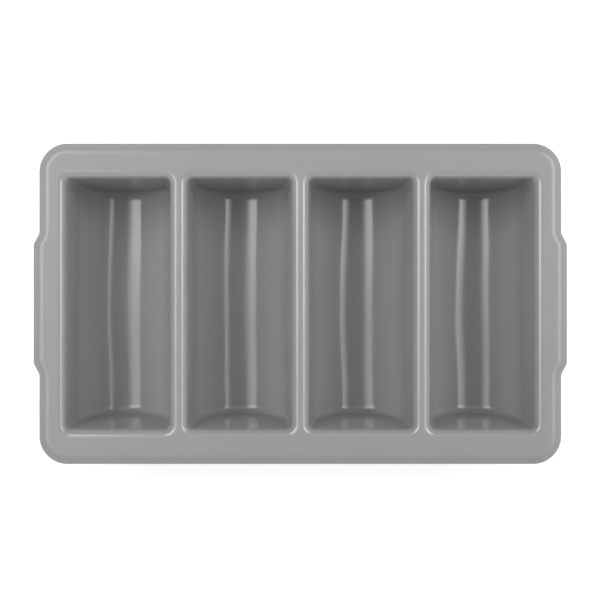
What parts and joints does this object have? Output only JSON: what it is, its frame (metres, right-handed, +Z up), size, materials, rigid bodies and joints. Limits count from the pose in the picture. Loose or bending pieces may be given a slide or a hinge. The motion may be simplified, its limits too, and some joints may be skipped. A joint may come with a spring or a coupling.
{
  "type": "cutlery tray",
  "caption": "Shallow grey plastic tray for loose cutlery: a row of U-shaped compartments under a flat rounded rim, with a turned-down skirt and a grip at each short end.",
  "frame": {"origin": "middle of the tray on the table, under the centre of the row of compartments", "axes": "+X along the row of compartments, +Y along each compartment towards the blank panel, +Z up"},
  "size_m": [0.5328, 0.32, 0.095],
  "materials": {
    "grey_plastic": "satin moulded polyethylene, faintly grained"
  },
  "bodies": {
    "root": {"deck": "grey_plastic", "front_edge": "grey_plastic", "back_edge": "grey_plastic", "left_grip": "grey_plastic", "right_grip": "grey_plastic", "divider_1": "grey_plastic", "divider_2": "grey_plastic", "divider_3": "grey_plastic", "compartment_1": "grey_plastic", "compartment_2": "grey_plastic", "compartment_3": "grey_plastic", "compartment_4": "grey_plastic"}
  },
  "joints": []
}
